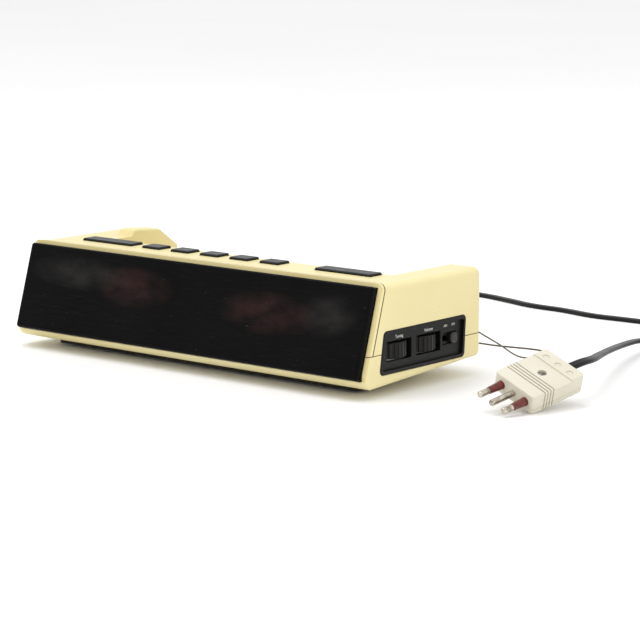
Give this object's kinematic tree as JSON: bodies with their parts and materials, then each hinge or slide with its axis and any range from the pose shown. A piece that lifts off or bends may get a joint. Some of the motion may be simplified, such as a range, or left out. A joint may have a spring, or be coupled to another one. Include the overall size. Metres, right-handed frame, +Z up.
{
  "type": "telephone clock radio",
  "caption": "Desktop telephone clock radio with leaning smoked display, keys on top, thumbwheels on one end, an empty handset cradle and a flat line cord with a pin plug.",
  "frame": {"origin": "middle of the housing's footprint, on the table", "axes": "+X along the length towards the control side, the display faces -Y, +Z up"},
  "size_m": [0.3899, 0.3497, 0.07],
  "materials": {
    "case_ivory": "fine satin moulding texture",
    "plinth_dark": "satin",
    "lens_smoke": "smoked, polished",
    "key_black": "soft gloss",
    "wheel_black": "satin, ribbed",
    "panel_black": "satin",
    "knob_black": "soft gloss",
    "display_dark": "red-tinted window",
    "mask_black": "matte",
    "board": "laminate with tracks",
    "chip_black": "moulded epoxy",
    "can_steel": "tinned",
    "capacitor_sleeve": "shrink sleeve",
    "clear_dielectric": "translucent case",
    "ferrite": "sintered, matte",
    "copper_winding": "enamelled wire",
    "steel": "zinc plated",
    "transformer_steel": "varnished laminations",
    "paper_cone": "pressed paper",
    "jack_dark": "satin",
    "brass_disc": "satin",
    "foot_rubber": "matte",
    "cord_black": "soft vinyl",
    "plug_ivory": "satin moulding",
    "pin_metal": "nickel plated",
    "sleeve_red": "moulded",
    "wire_brown": "vinyl insulation"
  },
  "bodies": {
    "housing": {"upper_shell": "case_ivory", "lower_shell": "case_ivory", "front_frame": "case_ivory", "base_plate": "plinth_dark", "feet": "foot_rubber", "housing_screws": "steel", "display_lens": "lens_smoke", "display_mask": "mask_black", "display_board": "board", "left_led_display": "display_dark", "right_led_display": "display_dark", "key_board": "board", "key_switches": "chip_black", "control_panel": "panel_black", "tuning_capacitor": "clear_dielectric", "volume_potentiometer": "can_steel", "band_switch": "steel", "control_board": "board", "main_board": "board", "clock_chip": "chip_black", "small_chips": "chip_black", "intermediate_cans": "can_steel", "filter_capacitors": "capacitor_sleeve", "ferrite_rod": "ferrite", "antenna_coil": "copper_winding", "rod_clips": "mask_black", "phone_board": "board", "ringer": "brass_disc", "hook_switch": "chip_black", "hook_spring": "steel", "speaker_frame": "steel", "speaker_cone": "paper_cone", "speaker_magnet": "ferrite", "transformer_core": "transformer_steel", "transformer_winding": "copper_winding", "mains_inlet": "jack_dark", "handset_jack": "jack_dark", "line_cord_relief": "cord_black", "line_cord": "cord_black", "line_cord_coil": "cord_black", "plug_lead": "cord_black", "plug_upper_half": "plug_ivory", "plug_lower_half": "plug_ivory", "plug_screw": "steel", "plug_pins": "pin_metal", "plug_sleeves": "sleeve_red", "wire_grommet": "jack_dark", "antenna_wire": "wire_brown", "antenna_wire_coil": "wire_brown"},
    "left_bar_key": {"left_bar_key": "key_black"},
    "function_key_1": {"function_key_1": "key_black"},
    "function_key_2": {"function_key_2": "key_black"},
    "function_key_3": {"function_key_3": "key_black"},
    "function_key_4": {"function_key_4": "key_black"},
    "function_key_5": {"function_key_5": "key_black"},
    "right_bar_key": {"right_bar_key": "key_black"},
    "tuning_wheel": {"tuning_wheel": "wheel_black"},
    "volume_wheel": {"volume_wheel": "wheel_black"},
    "band_knob": {"band_knob": "knob_black"},
    "hook_plunger": {"hook_plunger": "case_ivory"}
  },
  "joints": [
    {"name": "left_bar_key_press", "type": "slide", "parent": "housing", "child": "left_bar_key", "axis": [0, 0, -1], "range_m": [0, 0.0015], "stiffness_N_per_m": 500},
    {"name": "function_key_1_press", "type": "slide", "parent": "housing", "child": "function_key_1", "axis": [0, 0, -1], "range_m": [0, 0.0015], "stiffness_N_per_m": 500},
    {"name": "function_key_2_press", "type": "slide", "parent": "housing", "child": "function_key_2", "axis": [0, 0, -1], "range_m": [0, 0.0015], "stiffness_N_per_m": 500},
    {"name": "function_key_3_press", "type": "slide", "parent": "housing", "child": "function_key_3", "axis": [0, 0, -1], "range_m": [0, 0.0015], "stiffness_N_per_m": 500},
    {"name": "function_key_4_press", "type": "slide", "parent": "housing", "child": "function_key_4", "axis": [0, 0, -1], "range_m": [0, 0.0015], "stiffness_N_per_m": 500},
    {"name": "function_key_5_press", "type": "slide", "parent": "housing", "child": "function_key_5", "axis": [0, 0, -1], "range_m": [0, 0.0015], "stiffness_N_per_m": 500},
    {"name": "right_bar_key_press", "type": "slide", "parent": "housing", "child": "right_bar_key", "axis": [0, 0, -1], "range_m": [0, 0.0015], "stiffness_N_per_m": 500},
    {"name": "tuning_turn", "type": "hinge", "parent": "housing", "child": "tuning_wheel", "pos_m": [0.1311, -0.0229, 0.026], "axis": [0, 0, 1], "range_deg": [0, 180]},
    {"name": "volume_turn", "type": "hinge", "parent": "housing", "child": "volume_wheel", "pos_m": [0.1311, 0.0052, 0.026], "axis": [0, 0, 1], "range_deg": [0, 300]},
    {"name": "band_slide", "type": "slide", "parent": "housing", "child": "band_knob", "axis": [0, -1, 0], "range_m": [0, 0.0058]},
    {"name": "hook_press", "type": "slide", "parent": "housing", "child": "hook_plunger", "axis": [0, 0, -1], "range_m": [0, 0.003], "stiffness_N_per_m": 150, "deforming": ["hook_spring"]}
  ]
}
